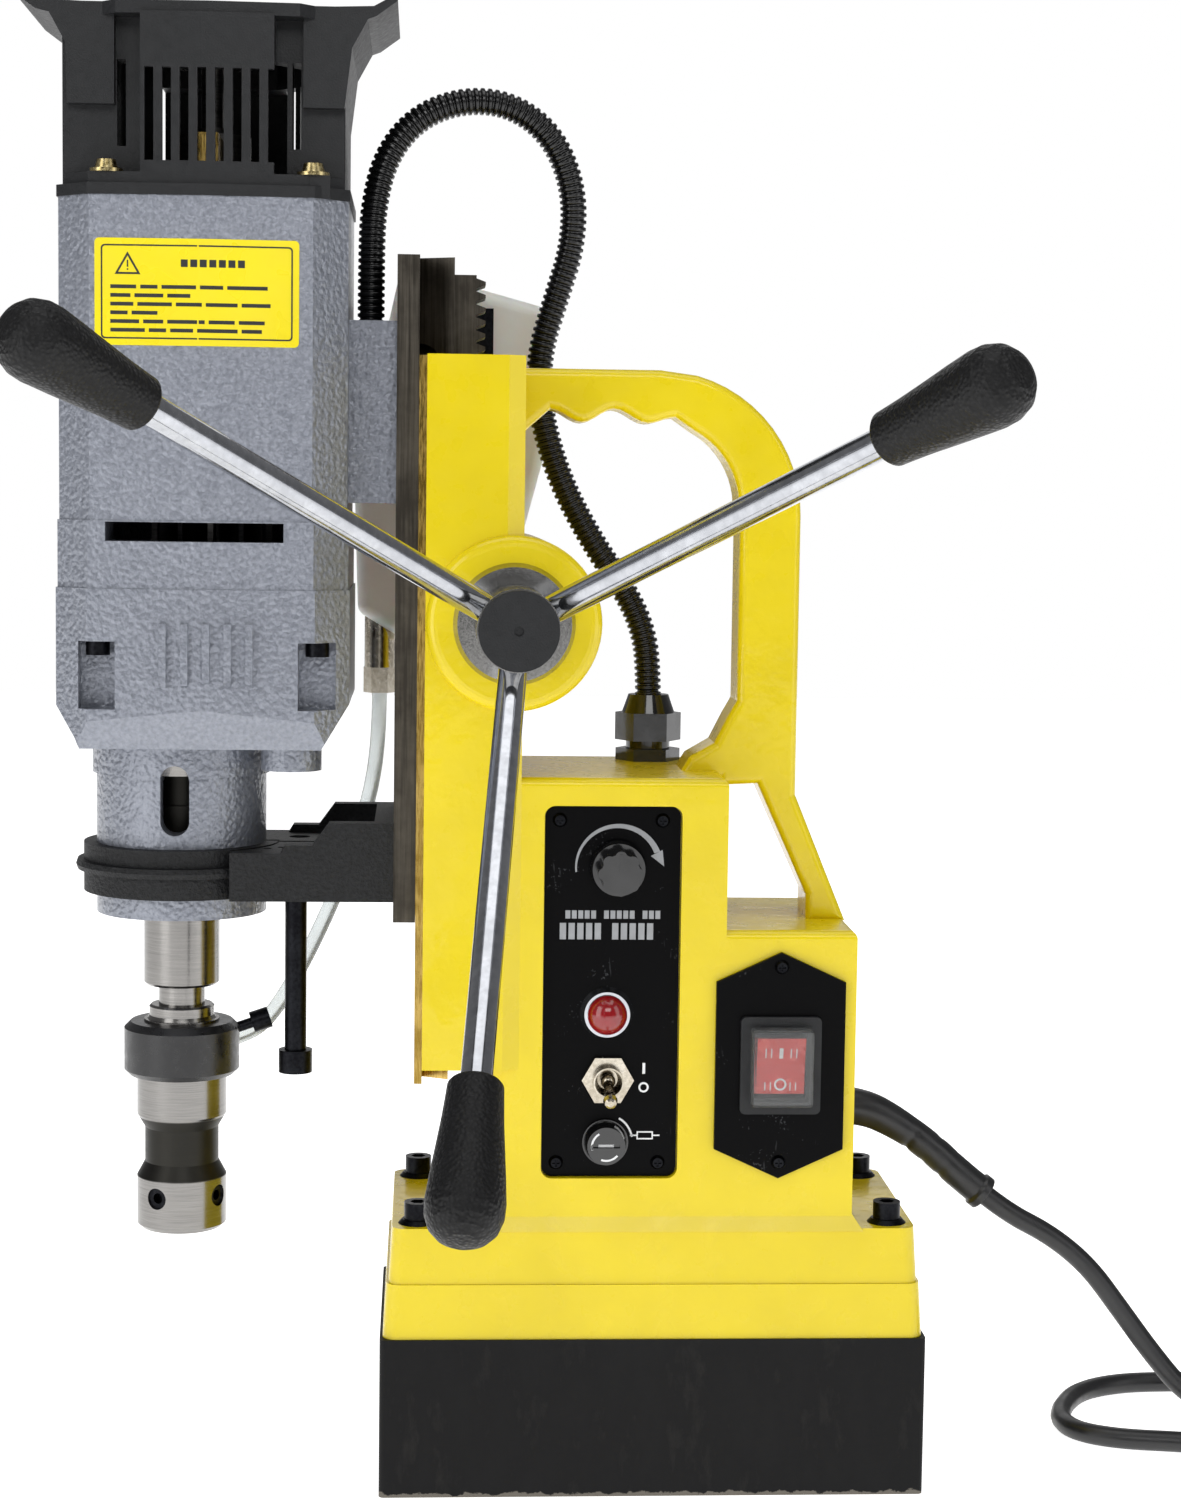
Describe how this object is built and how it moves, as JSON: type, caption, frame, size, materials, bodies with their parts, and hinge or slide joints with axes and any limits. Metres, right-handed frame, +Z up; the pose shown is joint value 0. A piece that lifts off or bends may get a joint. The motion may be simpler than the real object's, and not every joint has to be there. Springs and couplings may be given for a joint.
{
  "type": "magnetic drill press",
  "caption": "Portable drill press on a magnetic base: a geared motor unit on a dovetail slide, fed by a rack and a three-spoke capstan, with a cutter arbor and a switch box.",
  "frame": {"origin": "centre of the magnet's bottom face", "axes": "+Z up along the column, +X away from the spindle towards the switch box, +Y away from the operator"},
  "size_m": [0.6792, 0.3529, 0.5389],
  "materials": {
    "yellow_paint": "gloss enamel over cast aluminium",
    "grey_hammertone": "hammertone enamel over aluminium",
    "black_iron": "satin black enamel",
    "wrinkle_black": "wrinkle enamel",
    "black_abs": "fine grain",
    "black_gloss_plastic": "gloss",
    "dark_steel": "brushed, oiled",
    "polished_steel": "ground and polished",
    "chrome": "bright plate",
    "nickel": "nickel plate",
    "black_oxide": "black oxide",
    "brass": "machined",
    "black_sheet": "satin black",
    "black_rubber": "matt",
    "red_lens": "moulded red",
    "clear_cover": "clear vinyl",
    "clear_hose": "clear vinyl",
    "tank_plastic": "translucent polyethylene",
    "copper_winding": "enamelled copper",
    "epoxy": "potting resin",
    "board": "circuit board"
  },
  "bodies": {
    "stand": {"magnet_core": "black_iron", "magnet_coil": "copper_winding", "magnet_potting": "epoxy", "base_plate": "yellow_paint", "stand_casting": "yellow_paint", "base_bolts": "black_oxide", "control_panel": "black_sheet", "switch_panel": "black_sheet", "rear_cover": "black_sheet", "panel_screws": "black_oxide", "speed_pot": "nickel", "lamp_bezel": "chrome", "lamp_lens": "red_lens", "toggle_switch": "nickel", "fuse_holder": "black_gloss_plastic", "rocker_bezel": "black_abs", "rocker_cover": "clear_cover", "control_board": "board", "gib_strips": "brass", "feed_bushes": "polished_steel", "gland": "black_gloss_plastic", "conduit": "black_abs", "cord_boot": "black_rubber", "mains_cord": "black_rubber", "mains_coil": "black_rubber", "mains_plug": "black_rubber"},
    "carriage": {"slide": "dark_steel", "rack": "dark_steel", "slide_screws": "black_oxide", "motor_housing": "grey_hammertone", "fan_housing": "grey_hammertone", "gear_housing": "grey_hammertone", "motor_cap": "black_abs", "cap_screws": "brass", "gear_screws": "black_oxide", "stator": "dark_steel", "brush_holders": "brass", "bearings": "polished_steel", "spindle_sleeve": "grey_hammertone", "arm": "wrinkle_black", "arm_bolt": "black_oxide", "inlet_ring": "black_gloss_plastic", "ring_screw": "black_oxide", "coolant_tank": "tank_plastic", "tank_bracket": "dark_steel", "coolant_valve": "nickel", "coolant_hose": "clear_hose"},
    "feed_unit": {"feed_shaft": "chrome", "hub_cap": "black_gloss_plastic", "spokes": "chrome", "grips": "black_rubber"},
    "spindle_unit": {"spindle": "polished_steel", "arbor": "polished_steel", "arbor_screws": "black_oxide"},
    "layshaft_unit": {"layshaft": "polished_steel"},
    "armature_unit": {"armature": "dark_steel"},
    "speed_dial": {"speed_knob": "black_gloss_plastic"},
    "toggle": {"toggle_lever": "nickel"},
    "main_rocker": {"rocker": "red_lens"},
    "fuse_top": {"fuse_cap": "black_gloss_plastic"}
  },
  "joints": [
    {"name": "carriage_slide", "type": "slide", "parent": "stand", "child": "carriage", "axis": [0, 0, 1], "range_m": [-0.085, 0.05], "deforming": ["conduit"]},
    {"name": "feed_turn", "type": "hinge", "parent": "stand", "child": "feed_unit", "pos_m": [-0.0539, 0, 0.319], "axis": [0, 1, 0], "range_deg": [-405.8, 238.7]},
    {"name": "spindle_turn", "type": "hinge", "parent": "carriage", "child": "spindle_unit", "pos_m": [-0.1754, 0, 0.2], "axis": [0, 0, 1], "continuous": true},
    {"name": "layshaft_turn", "type": "hinge", "parent": "carriage", "child": "layshaft_unit", "pos_m": [-0.1379, 0, 0.29], "axis": [0, 0, 1], "continuous": true},
    {"name": "armature_turn", "type": "hinge", "parent": "carriage", "child": "armature_unit", "pos_m": [-0.1644, 0, 0.4], "axis": [0, 0, 1], "continuous": true},
    {"name": "speed_dial_turn", "type": "hinge", "parent": "stand", "child": "speed_dial", "pos_m": [-0.0152, -0.045, 0.2308], "axis": [0, 1, 0], "range_deg": [0, 270]},
    {"name": "toggle_flip", "type": "hinge", "parent": "stand", "child": "toggle", "pos_m": [-0.0179, -0.0447, 0.1531], "axis": [1, 0, 0], "range_deg": [-34, 0]},
    {"name": "rocker_flip", "type": "hinge", "parent": "stand", "child": "main_rocker", "pos_m": [0.0446, -0.0452, 0.1596], "axis": [1, 0, 0], "range_deg": [-18, 0]},
    {"name": "fuse_cap_turn", "type": "hinge", "parent": "stand", "child": "fuse_top", "pos_m": [-0.0185, -0.045, 0.1301], "axis": [0, 1, 0], "range_deg": [0, 60]}
  ],
  "couplings": [
    {"joint": "feed_turn", "follows": "carriage_slide", "rad_per_m": 83.333},
    {"joint": "layshaft_turn", "follows": "spindle_turn", "ratio": -4},
    {"joint": "armature_turn", "follows": "spindle_turn", "ratio": 12.308}
  ]
}
